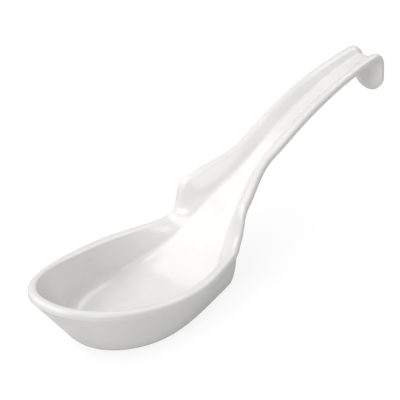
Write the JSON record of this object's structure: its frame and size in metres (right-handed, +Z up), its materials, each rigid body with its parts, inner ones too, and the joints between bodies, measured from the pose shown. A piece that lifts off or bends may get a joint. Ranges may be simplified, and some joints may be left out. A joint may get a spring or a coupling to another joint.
{
  "type": "chinese soup spoon",
  "caption": "Deep boat-shaped soup spoon with a flat base, a thick rounded lip, a stepped notch beside the neck, an arched gutter handle and a hooked end for hanging on a rim.",
  "frame": {"origin": "centre of the bowl, on the underside of the flat base", "axes": "+X from the bowl to the hooked end, +Y across the bowl, +Z up"},
  "size_m": [0.1717, 0.047, 0.056],
  "materials": {
    "moulding": "gloss white moulding"
  },
  "bodies": {
    "root": {"bowl": "moulding", "neck": "moulding", "handle": "moulding", "hook": "moulding"}
  },
  "joints": []
}
